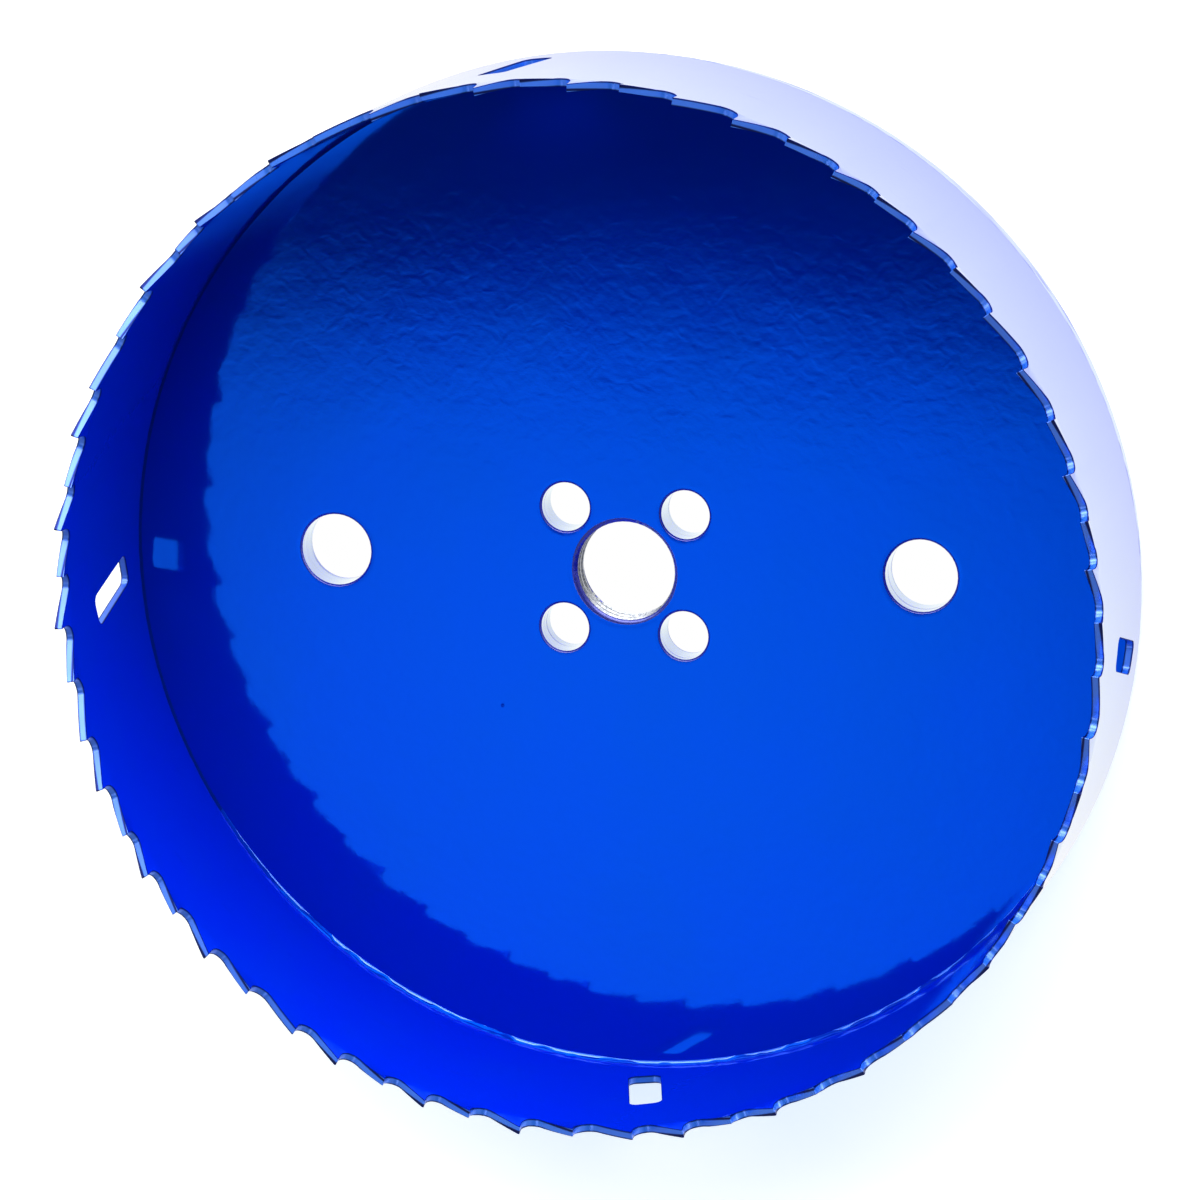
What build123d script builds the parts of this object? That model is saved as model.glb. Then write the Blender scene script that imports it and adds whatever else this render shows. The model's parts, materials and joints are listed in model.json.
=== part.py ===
from build123d import *
import os
from math import asin, atan2, cos, degrees, hypot, radians, sin, sqrt

# A six-inch hole saw: a toothed steel band welded round the rim of a flat base plate.
# Millimetres. +Z runs along the saw's axis towards the teeth, and the origin is the
# centre of the plate's back face. Angles are degrees, counter-clockwise seen from +Z.

# Band: a strip with teeth along one edge, rolled into a ring
saw_height = 37.0
band_radius = 76.0
band_wall = 1.2

# Teeth: a run of unequal gaps, in degrees, repeats from the strip's first end. Whatever
# angle is left at the seam becomes one short gap.
tooth_count = 63
tooth_gaps = (6.7, 5.75, 5.65, 5.05, 5.15, 5.85, 6.0)
first_tip_angle = 139.0
first_gap = 5
gullet_share = 0.4
gullet_round = 0.57
rake_angle = 6.0
tip_land = 0.2

# Set: beside each gap, whether its tooth leans out (1), in (-1) or stands straight (0)
tooth_set = (-1, 0, 1, -1, 1, -1, 1)
set_amount = 0.35
set_share = 0.9

# Slots that let a core be levered out
slot_angles = (100.0, 184.0, 275.4, 356.9)
slot_width = 4.7
slot_length = 13.6
slot_corner = 1.2
slot_lean = 16.0
slot_middle = 17.2

# Base plate: a disc with a stepped rim that centres the band
plate_thickness = 5.0
rim_inset = 0.8
step_depth = 0.8
step_clearance = 0.05
rim_chamfer = 0.6

# Arbor hole, drilled for a 5/8-18 thread, and the drive pin holes round it
arbor_tap_radius = 7.25
arbor_chamfer = 0.7
pin_hole_radius = 3.6
pin_circle_radius = 12.7
pin_holes = 4
pin_first_angle = 45.0
hole_edge = 0.25

# Core ejector holes, a pair whose line passes a little off the centre
ejector_hole_radius = 5.3
ejector_circle_radius = 44.0
ejector_turn = 1.4
ejector_offset = 1.3

# Welds, both ground flat: the outer run fills a bevel, the inner one lies in the corner
weld_rise = 1.5
weld_drop = 1.2
weld_root = 0.1
corner_leg = 0.9

# How far a cutter runs past its material, and a tooth's blank below the deepest gullet
over_cut = 2.0
tooth_root = 0.6

band_bore = band_radius - band_wall
band_foot = plate_thickness - step_depth
tooth_mid_radius = band_radius - band_wall / 2
rim_radius = band_radius - rim_inset
weld_root_radius = rim_radius - weld_root


def turned(outline):
    """The solid that a closed outline of (radius, height) points sweeps about Z."""
    return revolve(Plane.XZ * make_face(outline), Axis.Z)


def radial_plane(angle):
    """A plane through the axis that faces outward: x counter-clockwise, y up."""
    out = Vector(cos(radians(angle)), sin(radians(angle)), 0)
    along = Vector(-sin(radians(angle)), cos(radians(angle)), 0)
    return Plane(origin=(0, 0, 0), x_dir=along, z_dir=out)


def through_wall(outline, angle):
    """A cutter with this outline that passes through the band at an angle."""
    start = band_bore - over_cut
    return extrude(radial_plane(angle).offset(start) * outline, band_wall + 2 * over_cut)


def tip_angles():
    """The angle of each cutting edge, from the seam once round to it again."""
    angles = [first_tip_angle]
    for number in range(tooth_count - 1):
        gap = tooth_gaps[(first_gap + number) % len(tooth_gaps)]
        angles.append(angles[-1] + gap)
    return angles + [first_tip_angle + 360]


class Gullet:
    """The space ahead of a tooth: rake face, round bottom, and the next tooth's back."""

    def __init__(self, tip, next_tip):
        pitch = radians(next_tip - tip) * tooth_mid_radius
        self.depth = gullet_share * pitch
        radius = gullet_round * self.depth
        rake = radians(rake_angle)
        drop = self.depth - radius
        # The round bottom touches the rake face, which runs back under the tip.
        self.bottom = (radius - drop * sin(rake)) / cos(rake)
        rake_end = (-radius * cos(rake), radius * sin(rake) - drop)
        # The back of the next tooth is the tangent from its land to the round bottom.
        land = pitch - tip_land - self.bottom
        reach = hypot(land, drop)
        clearance = atan2(drop, land) + asin(radius / reach)
        back = sqrt(reach**2 - radius**2)
        back_start = (land - back * cos(clearance), -back * sin(clearance))
        self.outline = (rake_end, back_start, land)
        self.angle = tip + degrees(self.bottom / tooth_mid_radius)

    def cutter(self):
        rake_end, back_start, land = self.outline
        top = saw_height
        edge = (-self.bottom, top)
        foot = (rake_end[0], top + rake_end[1])
        low = (0, top - self.depth)
        rise = (back_start[0], top + back_start[1])
        outline = make_face(
            [
                Line(edge, foot),
                ThreePointArc(foot, low, rise),
                Line(rise, (land, top)),
                Line((land, top), (land, top + over_cut)),
                Line((land, top + over_cut), (-self.bottom, top + over_cut)),
                Line((-self.bottom, top + over_cut), edge),
            ]
        )
        return through_wall(outline, self.angle)


def tooth(before, after, side, floor):
    """The tooth between two gullets, leaning out, in or not at all from the set line."""
    bend = saw_height - set_share * min(before.depth, after.depth)
    lean = side * set_amount
    corners = [
        (band_bore, floor),
        (band_radius, floor),
        (band_radius, bend),
        (band_radius + lean, saw_height),
        (band_bore + lean, saw_height),
        (band_bore, bend),
    ]
    section = Plane.XZ * make_face(Polyline(*corners, close=True))
    blank = revolve(section, Axis.Z, revolution_arc=after.angle - before.angle)
    blank = Rot(0, 0, before.angle) * blank
    return blank - before.cutter() - after.cutter()


def toothed_band():
    """The rolled strip: a ring bevelled for the weld, its slots, and the teeth on top."""
    tips = tip_angles()
    gullets = [Gullet(tip, after) for tip, after in zip(tips, tips[1:])]
    floor = saw_height - max(gullet.depth for gullet in gullets) - tooth_root
    ring = turned(
        Polyline(
            (band_bore, band_foot),
            (weld_root_radius, band_foot),
            (band_radius, band_foot + weld_rise),
            (band_radius, floor),
            (band_bore, floor),
            close=True,
        )
    )
    for angle in slot_angles:
        slot = Rot(0, 0, -slot_lean) * RectangleRounded(slot_width, slot_length, slot_corner)
        ring -= through_wall(Pos(0, slot_middle) * slot, angle)
    teeth = []
    before = Gullet(tips[-2] - 360, tips[0])
    for number, gullet in enumerate(gullets):
        side = tooth_set[(first_gap + number) % len(tooth_set)]
        teeth.append(tooth(before, gullet, side, floor))
        before = gullet
    return (ring + teeth).clean()


def bored(plate, radius, edge, x, y):
    """The plate with a through hole, both of its edges chamfered."""
    profile = Polyline(
        (0, 0),
        (radius + edge, 0),
        (radius, edge),
        (radius, plate_thickness - edge),
        (radius + edge, plate_thickness),
        (0, plate_thickness),
        close=True,
    )
    return plate - Pos(x, y, 0) * turned(profile)


def base_plate():
    """The disc: the step that centres the band, the weld bevel, and seven holes."""
    plate = turned(
        Polyline(
            (0, 0),
            (rim_radius - rim_chamfer, 0),
            (rim_radius, rim_chamfer),
            (rim_radius, band_foot - weld_drop),
            (weld_root_radius, band_foot),
            (band_bore - step_clearance, band_foot),
            (band_bore - step_clearance, plate_thickness),
            (0, plate_thickness),
            close=True,
        )
    )
    plate = bored(plate, arbor_tap_radius, arbor_chamfer, 0, 0)
    for number in range(pin_holes):
        turn = radians(pin_first_angle + number * 360 / pin_holes)
        x, y = pin_circle_radius * cos(turn), pin_circle_radius * sin(turn)
        plate = bored(plate, pin_hole_radius, hole_edge, x, y)
    for side in (-1, 1):
        turn = radians(ejector_turn)
        x = side * ejector_circle_radius * cos(turn) - ejector_offset * sin(turn)
        y = side * ejector_circle_radius * sin(turn) + ejector_offset * cos(turn)
        plate = bored(plate, ejector_hole_radius, hole_edge, x, y)
    return plate


def rim_weld():
    """The outer run, in the bevel between the band's foot and the plate's rim."""
    upper = (band_radius, band_foot + weld_rise)
    root = (weld_root_radius, band_foot)
    lower = (rim_radius, band_foot - weld_drop)
    return turned(Polyline(upper, root, lower, close=True))


def corner_weld():
    """The inner run, in the corner of plate and band."""
    corner = (band_bore, plate_thickness)
    wall_end = (band_bore, plate_thickness + corner_leg)
    plate_end = (band_bore - corner_leg, plate_thickness)
    return turned(Polyline(corner, wall_end, plate_end, close=True))


os.makedirs("parts", exist_ok=True)
export_step(toothed_band(), "parts/toothed_band.step")
export_step(base_plate(), "parts/base_plate.step")
export_step(rim_weld(), "parts/rim_weld.step")
export_step(corner_weld(), "parts/corner_weld.step")
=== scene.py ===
"""Finish of a hole saw: blue enamel over a welded steel cup, with a cut arbor thread.

Every length is in metres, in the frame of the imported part: +Z runs along the saw's axis
towards the teeth, and the origin is the centre of the plate's back face.
"""

import json
from functools import partial
from math import atan2, cos, hypot, pi, radians, sin, tan

import bmesh
import bpy
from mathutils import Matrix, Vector, noise


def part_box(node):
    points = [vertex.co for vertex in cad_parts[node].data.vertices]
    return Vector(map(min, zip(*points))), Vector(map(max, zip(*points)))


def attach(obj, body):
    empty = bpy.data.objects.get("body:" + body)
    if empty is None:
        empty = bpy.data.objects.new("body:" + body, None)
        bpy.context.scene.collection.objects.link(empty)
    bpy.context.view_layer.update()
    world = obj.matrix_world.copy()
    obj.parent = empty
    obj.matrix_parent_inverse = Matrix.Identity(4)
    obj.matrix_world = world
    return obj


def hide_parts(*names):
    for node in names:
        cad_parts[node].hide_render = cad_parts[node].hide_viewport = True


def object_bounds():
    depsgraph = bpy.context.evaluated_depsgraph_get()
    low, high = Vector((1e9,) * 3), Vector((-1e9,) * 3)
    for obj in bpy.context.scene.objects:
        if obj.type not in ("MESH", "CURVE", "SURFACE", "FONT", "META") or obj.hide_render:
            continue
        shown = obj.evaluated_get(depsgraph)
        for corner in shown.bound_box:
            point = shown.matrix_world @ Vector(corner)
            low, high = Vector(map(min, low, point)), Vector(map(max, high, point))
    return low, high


bl_info = {
    "name": "Hole Saw Finish",
    "version": (1, 0, 0),
    "blender": (4, 5, 0),
    "location": "3D View > Sidebar > Hole Saw",
    "description": "Enamel, welds, arbor thread and studio for a welded hole saw",
    "category": "Object",
}

MM = 0.001
MICRON = 1e-6

# Vertices closer than MERGE are joined, and faces within FLAT of each other become one
MERGE = 1e-7
FLAT = radians(0.5)

# An edge that turns more than SHARP is rounded, and shading rolls over up to ROLL
SHARP = radians(30)
ROLL = radians(50)
ROUND_STEPS = 2

# A face is part of the drum if it is this near the rim, leans no more than this and faces
# straight out or in to within this cosine
DRUM_DEPTH = 1.5 * MM
DRUM_SLOPE = 0.2
DRUM_FACING = 0.99

# The edges of the threaded hole stay sharp out to this share of its radius
THREAD_MARGIN = 1.1

# Materials of the band, in order. A wall faces the axis, or away from it, at least this
# squarely, a cut edge at most this squarely, and a corner lies between the two.
OUTSIDE, INSIDE, CUT_EDGE, CORNER = range(4)
WALL_FACING = 0.95
EDGE_FACING = 0.25

# Materials of the plate, in order. By the rise of its normal a face is level past LEVEL, and
# the wall of a bore up to STEEP. The rim starts at a share of the band's bore, its lower
# corner rolls under below RIM_ROLL, and a groove may stray this far past its own radius.
FACE, THREAD, BORE, CHAMFER, RIM_CORNER = range(5)
LEVEL = 0.95
STEEP = 0.3
RIM_START = 0.9
RIM_ROLL = 0.8 * MM
GROOVE_STRAY = 0.01 * MM

# Materials of the welds, in order
RUN, TOE = range(2)
FILLET, LIP, SHADED_SEAM = range(3)

# The spans of noise in which a patch or a mark comes up
THIN_SPAN = (0.35, 0.75)
GLOSS_SPAN = (0.2, 0.8)
SCRATCH_SPAN = (0.66, 0.74)
RING_SPAN = (0.5, 0.7)
SEAM_SPAN = (0.3, 0.7)
GRIME_SPAN = (0.4, 0.7)

# Enamel: the spread of its roughness, what a scratch adds to that and leaves of the glance,
# the glance at the tooth tips, and the corner where a cut edge rolls over and is painted dark, as
# painted shade
GLOSS_LEAST = 0.85
GLOSS_MOST = 1.25
SCRATCH_ROUGHNESS = 0.15
SCRATCH_GLANCE = 0.7
TIP_GLANCE = 1.15
CORNER_FADE = 0.25 * MM
CORNER_START = (-0.8 * MM, -0.7 * MM)
CORNER_METALLIC = 0.9

# Seam paint, both grime and painted shade: how much of it is the plain seam colour, and its roughness
SEAM_SHARE = 0.7
SEAM_ROUGHNESS = (0.5, 0.7)

# Cut steel
STEEL_METALLIC = 0.9
STEEL_ROUGHNESS = (0.25, 0.5)

# Outer weld: seeds of its noise, how much its crown swells, what it keeps of its beads, what
# the ridge adds to its noise, the least noise that darkens the toe, how the rows crowd towards
# the top, how far the run may stand past the band, and how deep its back lies
UPPER_SEED, LOWER_SEED, SWELL_SEED = 3.1, 7.7, 11.3
RIM_BEAD_SEED, RIDGE_SEED, TOE_SEED = 5.9, 1.9, 4.4
SWELL_SHARE = 0.6
BEAD_SHARE = 0.5
RIDGE_BASE = 0.4
TOE_LEAST = -0.12
ROW_CROWDING = 1.5
RUN_PROUD = 0.06 * MM
RUN_BACK = 0.3 * MM

# Inner weld: seeds of its noise, then pairs of a base and what is added to it, by the lip's
# side for the whole run and by noise for the rest
WALL_SEED, PLATE_SEED, FILLET_BEAD_SEED, LIP_SEED = 2.3, 8.9, 6.1, 9.7
FULL_SHARES = (0.6, 0.4)
WALL_SHARES = (0.7, 0.25)
PLATE_SHARES = (0.68, 0.15)
LIP_SHARES = (0.85, 2.2)

# Lip of the inner weld: the most that the noise gives it, its lean and swell, the steps down
# its face, its least height, and where round the cup it starts and how it fades in. The run is
# painted dark, as painted shade, where it faces the lip's side less squarely than SEAM_FACING.
LIP_MOST = 1.1
LIP_LEAN = 0.8
LIP_SWELL = 0.12
LIP_STEPS = (0.3, 0.6, 0.85)
LIP_FLOOR = 0.01 * MM
LIP_FACING = 0.5
LIP_FADE = 0.3
SEAM_FACING = 0.52

# Fillet of the inner weld: how far it sags, square to its slope
FILLET_DIP = 0.04 * MM
DIAGONAL = 0.7

# Room: where its lights fade, by the sine of the height or by how squarely a side is faced,
# the least height and flat length to divide by, and where the floor is painted white under the
# cup, over its shadow
HORIZON = (0.0, 0.05)
WALLS_FADE = (0.86, 0.7)
LEAST_HEIGHT = 0.05
LEAST_LENGTH = 0.01
SOFTBOX_FADE = 0.042
WINDOW_SPAN = (0.1, 0.75)
WINDOW_FADE = 0.22
SKYLIGHT_SPAN = (0.5, 0.85)
SKYLIGHT_FOOT = (0.5, 0.62)
SKYLIGHT_HEAD = (0.88, 0.78)
CUP_FADE = 5 * MM

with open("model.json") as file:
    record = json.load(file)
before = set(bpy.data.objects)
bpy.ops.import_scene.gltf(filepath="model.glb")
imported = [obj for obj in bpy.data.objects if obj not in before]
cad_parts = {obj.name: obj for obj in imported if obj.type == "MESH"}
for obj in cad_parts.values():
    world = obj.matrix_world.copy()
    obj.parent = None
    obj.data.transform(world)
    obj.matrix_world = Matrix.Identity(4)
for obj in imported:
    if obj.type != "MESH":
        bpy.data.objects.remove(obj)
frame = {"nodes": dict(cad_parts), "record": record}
CAD_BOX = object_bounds()


def mount(name):
    """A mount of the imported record, by name."""
    return next(m for m in frame["record"]["mounts"] if m["name"] == name)


def plate_holes():
    """(x, y, radius) of every hole's upper edge in the plate."""
    holes = [(0.0, 0.0, TAP_RADIUS + ARBOR_CHAMFER)]
    pins = mount("drive_pins")["dims"]
    for number in range(pins["count"]):
        turn = 2 * pi * (number + 0.5) / pins["count"]
        reach = pins["pcd_mm"] / 2 * MM
        holes.append((reach * cos(turn), reach * sin(turn), pins["hole_r_mm"] * MM))
    for name in ("ejector_hole_left", "ejector_hole_right"):
        x, y, _ = mount(name)["pos_m"]
        holes.append((x, y, mount(name)["dims"]["r_mm"] * MM))
    return holes


BAND_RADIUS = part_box("rim_weld")[1].x
BAND_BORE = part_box("corner_weld")[1].x
RIM_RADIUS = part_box("base_plate")[1].x
PLATE_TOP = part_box("base_plate")[1].z
TAP_RADIUS = mount("arbor_thread")["dims"]["r_mm"] * MM
ARBOR_CHAMFER = 0.7 * MM
HOLES = plate_holes()


# Geometry


def settle_normals(mesh):
    """Smooth shading in which large faces hold their own normal and edges roll between them."""
    mesh.shade_smooth()
    around = [[] for _ in mesh.vertices]
    for face in mesh.polygons:
        for vertex in face.vertices:
            around[vertex].append(face)
    limit = cos(ROLL)
    normals = [Vector((0, 0, 1))] * len(mesh.loops)
    for face in mesh.polygons:
        for corner in face.loop_indices:
            vertex = mesh.vertices[mesh.loops[corner].vertex_index]
            total = Vector()
            for near in around[vertex.index]:
                if near.normal.dot(face.normal) > limit:
                    total += near.area * drum_normal(near, vertex.co)
            normals[corner] = total.normalized()
    mesh.normals_split_custom_set(normals)


def drum_normal(face, place):
    """A face's normal, turned to point straight out or in where the face is part of the drum."""
    middle = Vector((face.center.x, face.center.y, 0))
    flat = Vector((face.normal.x, face.normal.y, 0))
    if middle.length < RIM_RADIUS - DRUM_DEPTH or abs(face.normal.z) > DRUM_SLOPE:
        return face.normal
    side = flat.normalized().dot(middle.normalized())
    if abs(side) < DRUM_FACING:
        return face.normal
    out = Vector((place.x, place.y, 0)).normalized() * flat.length
    return out * (1 if side > 0 else -1) + Vector((0, 0, face.normal.z))


def new_piece(name, mesh, slot_name, *nodes):
    """Puts a mesh in the scene as a piece that stands for the CAD nodes named."""
    piece = bpy.data.objects.new(name, mesh)
    bpy.context.scene.collection.objects.link(piece)
    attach(piece, "root")
    if nodes:
        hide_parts(*nodes)
    return piece


def welded_copy(node):
    """A CAD node's mesh with its split vertices joined and its flat faces whole."""
    work = bmesh.new()
    work.from_mesh(frame["nodes"][node].data)
    bmesh.ops.remove_doubles(work, verts=work.verts, dist=MERGE)
    bmesh.ops.dissolve_limit(work, angle_limit=FLAT, verts=work.verts, edges=work.edges)
    return work


def soften_edges(work, width, clear_of=0.0):
    """Rounds the sharp edges that stay farther than a radius from the axis, as paint does."""
    sharp = [
        edge
        for edge in work.edges
        if edge.is_manifold
        and edge.calc_face_angle(0.0) > SHARP
        and all(hypot(end.co.x, end.co.y) > clear_of for end in edge.verts)
    ]
    bmesh.ops.bevel(
        work,
        geom=sharp,
        offset=width,
        offset_type="OFFSET",
        segments=ROUND_STEPS,
        profile=0.5,
        affect="EDGES",
        clamp_overlap=False,
    )


def to_mesh(work, name):
    """The finished work as a mesh."""
    mesh = bpy.data.meshes.new(name)
    work.to_mesh(mesh)
    work.free()
    return mesh


def thread_cutter(settings, bottom, top):
    """A right-hand threaded rod whose ridges cut the groove into the tapped wall."""
    pitch = settings.pitch
    flank = (settings.major_radius - settings.core_radius) * tan(radians(settings.flank_angle))
    crest = pitch / 8
    rows_of_pitch = (
        (0.0, settings.major_radius),
        (crest, settings.major_radius),
        (crest + flank, settings.core_radius),
        (pitch - flank, settings.core_radius),
    )
    turn_rows = len(rows_of_pitch)
    columns = settings.segments
    pitches = int((top - bottom) / pitch) + 2
    work = bmesh.new()
    rows = []
    for number in range(pitches * turn_rows):
        rise, radius = rows_of_pitch[number % turn_rows]
        start = bottom + (number // turn_rows) * pitch + rise
        row = []
        for column in range(columns):
            turn = column / columns
            angle = 2 * pi * turn
            place = (radius * cos(angle), radius * sin(angle), start + turn * pitch)
            row.append(work.verts.new(place))
        rows.append(row)
    last = len(rows) - 1
    for low, high in zip(rows, rows[1:]):
        for column in range(columns - 1):
            work.faces.new((low[column], low[column + 1], high[column + 1], high[column]))
    for number in range(last - turn_rows):
        here, above = rows[number], rows[number + 1]
        next_here, next_above = rows[number + turn_rows], rows[number + turn_rows + 1]
        work.faces.new((here[-1], next_here[0], next_above[0], above[-1]))
    seam = [rows[number][0] for number in range(turn_rows, 0, -1)]
    cap_end(work, rows[0] + seam, bottom, False)
    seam = [rows[number][-1] for number in range(last - 1, last - turn_rows - 1, -1)]
    cap_end(work, rows[last] + seam, rows[last][0].co.z, True)
    bmesh.ops.recalc_face_normals(work, faces=work.faces)
    return to_mesh(work, "thread_cutter")


def cap_end(work, loop, height, upward):
    """Closes a helical end with a fan about a point on the axis."""
    centre = work.verts.new((0, 0, height))
    for here, there in zip(loop, loop[1:] + loop[:1]):
        corners = (here, there, centre) if upward else (there, here, centre)
        work.faces.new(corners)


def cut(mesh, cutter_mesh):
    """The mesh less the cutter."""
    body = bpy.data.objects.new("cut_body", mesh)
    cutter = bpy.data.objects.new("cut_tool", cutter_mesh)
    for thing in (body, cutter):
        bpy.context.scene.collection.objects.link(thing)
    modifier = body.modifiers.new("thread", "BOOLEAN")
    modifier.operation = "DIFFERENCE"
    modifier.solver = "EXACT"
    modifier.object = cutter
    bpy.context.view_layer.update()
    evaluated = body.evaluated_get(bpy.context.evaluated_depsgraph_get())
    result = bpy.data.meshes.new_from_object(evaluated)
    bpy.data.objects.remove(body)
    bpy.data.objects.remove(cutter)
    return result


def ring_grid(work, columns, section):
    """A closed ring, where section(angle) gives the closed outline of one slice."""
    slices = []
    for column in range(columns):
        angle = 2 * pi * column / columns
        points = [
            work.verts.new((radius * cos(angle), radius * sin(angle), height))
            for radius, height in section(angle)
        ]
        slices.append(points)
    for here, there in zip(slices, slices[1:] + slices[:1]):
        for low in range(len(here)):
            high = (low + 1) % len(here)
            work.faces.new((here[low], here[high], there[high], there[low]))


def ripple(angle, radius, wave, seed):
    """Smooth noise from -1 to 1 along a ring, with features about one wave long."""
    place = Vector((cos(angle), sin(angle), 0)) * (radius / wave)
    return noise.noise(place + Vector((0, 0, seed)))


def weld_run(name, columns, section):
    """A smooth ring with this outline, as a mesh."""
    work = bmesh.new()
    ring_grid(work, columns, section)
    bmesh.ops.recalc_face_normals(work, faces=work.faces)
    mesh = to_mesh(work, name)
    mesh.shade_smooth()
    return mesh


def coat(mesh, *materials):
    """Gives a mesh its materials, in order."""
    mesh.materials.clear()
    for material in materials:
        mesh.materials.append(material)


# Nodes


def add(tree, kind, inputs=None, **options):
    """A node with its options, its plain values and its links set."""
    made = tree.nodes.new(kind)
    for name, value in options.items():
        setattr(made, name, value)
    for name, value in (inputs or {}).items():
        if isinstance(value, bpy.types.NodeSocket):
            tree.links.new(value, made.inputs[name])
        else:
            made.inputs[name].default_value = value
    return made


def maths(tree, operation, *values, clamp=False):
    """One Math node, and its result."""
    inputs = dict(enumerate(values))
    return add(tree, "ShaderNodeMath", inputs, operation=operation, use_clamp=clamp).outputs[0]


def ramped(tree, value, low, high, start=0.0, end=1.0, smooth=True):
    """The value carried from low..high to start..end, and held at both ends."""
    inputs = {"Value": value, "From Min": low, "From Max": high, "To Min": start, "To Max": end}
    kind = "SMOOTHSTEP" if smooth else "LINEAR"
    return add(tree, "ShaderNodeMapRange", inputs, interpolation_type=kind).outputs["Result"]


def noise_of(tree, coordinates, scale, detail=2.0, roughness=0.5, distortion=0.0):
    """Noise from 0 to 1, with this many features in a metre."""
    inputs = {
        "Vector": coordinates,
        "Scale": scale,
        "Detail": detail,
        "Roughness": roughness,
        "Distortion": distortion,
    }
    return add(tree, "ShaderNodeTexNoise", inputs).outputs["Fac"]


def bumped(tree, height, depth, normal=None):
    """A normal bent by a height from 0 to 1, where 1 stands this deep, in metres."""
    inputs = {"Height": height, "Distance": depth, "Strength": 1.0}
    if normal is not None:
        inputs["Normal"] = normal
    return add(tree, "ShaderNodeBump", inputs).outputs["Normal"]


def mixed(tree, factor, first, second):
    """Two colours mixed."""
    made = tree.nodes.new("ShaderNodeMix")
    made.data_type = "RGBA"
    sockets = [s for s in made.inputs if s.type == "RGBA"]
    for socket, value in zip([made.inputs["Factor"]] + sockets, (factor, first, second)):
        if isinstance(value, bpy.types.NodeSocket):
            tree.links.new(value, socket)
        else:
            socket.default_value = value
    return next(s for s in made.outputs if s.type == "RGBA")


def blank_material(name):
    """A new material with no nodes, and its node tree."""
    material = bpy.data.materials.new(name)
    material.use_nodes = True
    material.node_tree.nodes.clear()
    return material, material.node_tree


def flat_length(tree, x, y):
    """Length of the flat vector (x, y)."""
    across = maths(tree, "MULTIPLY", x, x)
    along = maths(tree, "MULTIPLY", y, y)
    return maths(tree, "SQRT", maths(tree, "ADD", across, along))


def place_on(tree):
    """A point of the piece, in the frame of the whole saw."""
    return add(tree, "ShaderNodeTexCoord").outputs["Object"]


def parts_of(tree, vector):
    """The x, y and z of a vector."""
    return add(tree, "ShaderNodeSeparateXYZ", {"Vector": vector}).outputs


def join_output(tree, surface):
    """Joins the last shader to the material's output."""
    add(tree, "ShaderNodeOutputMaterial", {"Surface": surface.outputs[0]})


def grime_and_shade_enamel(name, settings):
    """Dull dark paint and grime in a narrow seam, and painted shade in seams and on corners."""
    material, tree = blank_material(name)
    point = place_on(tree)
    grain = noise_of(tree, point, settings.grain_scale, detail=3.0)
    colour = mixed(tree, grain, settings.grime_and_shade_colour[:], settings.shaded_plate_colour[:])
    inputs = {
        "Base Color": mixed(tree, SEAM_SHARE, colour, settings.grime_and_shade_colour[:]),
        "Roughness": ramped(tree, grain, *SEAM_SPAN, *SEAM_ROUGHNESS),
        "IOR": settings.seam_ior,
        "Specular Tint": settings.gloss_tint[:],
        "Normal": bumped(tree, grain, settings.scratch_depth),
    }
    surface = add(tree, "ShaderNodeBsdfPrincipled", inputs)
    join_output(tree, surface)
    return material


def paint_nibs(tree, point, settings):
    """Sparse specks of dust caught under the paint, 1 at their tops."""
    inputs = {"Vector": point, "Scale": settings.nib_density, "Randomness": 1.0}
    cells = add(tree, "ShaderNodeTexVoronoi", inputs)
    chance = add(tree, "ShaderNodeSeparateColor", {"Color": cells.outputs["Color"]})
    there = maths(tree, "GREATER_THAN", chance.outputs[0], 1 - settings.nib_share)
    top = ramped(tree, cells.outputs["Distance"], 0.0, settings.nib_size, 1.0, 0.0)
    return maths(tree, "MULTIPLY", top, there)


def scratches(tree, point, settings):
    """Short fine marks that run nearly round the drum, 1 in a mark."""
    x, y, height = parts_of(tree, point)
    round_way = maths(tree, "MULTIPLY", maths(tree, "ARCTAN2", y, x), BAND_RADIUS)
    slanted = maths(tree, "ADD", height, maths(tree, "MULTIPLY", round_way, settings.scratch_slant))
    along = maths(tree, "MULTIPLY", round_way, settings.scratch_along)
    across = maths(tree, "MULTIPLY", slanted, settings.scratch_across)
    place = add(tree, "ShaderNodeCombineXYZ", {"X": along, "Y": across}).outputs["Vector"]
    lines = noise_of(tree, place, 1.0, detail=3.0, roughness=0.7)
    return ramped(tree, lines, *SCRATCH_SPAN)


def hole_distance(tree, point):
    """How far a point of the plate is from the edge of the nearest hole."""
    x, y, _ = parts_of(tree, point)
    nearest = 1.0
    for hole_x, hole_y, radius in HOLES:
        across = maths(tree, "SUBTRACT", x, hole_x)
        along = maths(tree, "SUBTRACT", y, hole_y)
        distance = maths(tree, "SUBTRACT", flat_length(tree, across, along), radius)
        nearest = maths(tree, "MINIMUM", distance, nearest)
    return nearest


def turning_marks(tree, point, settings):
    """Uneven rings round a bore, where the drill has left lines under the paint."""
    x, y, z = parts_of(tree, point)
    inputs = {
        "X": maths(tree, "MULTIPLY", x, settings.ring_along),
        "Y": maths(tree, "MULTIPLY", y, settings.ring_along),
        "Z": maths(tree, "MULTIPLY", z, settings.ring_across),
    }
    place = add(tree, "ShaderNodeCombineXYZ", inputs).outputs["Vector"]
    return ramped(tree, noise_of(tree, place, 1.0, detail=2.0, roughness=0.6), *RING_SPAN)


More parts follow.
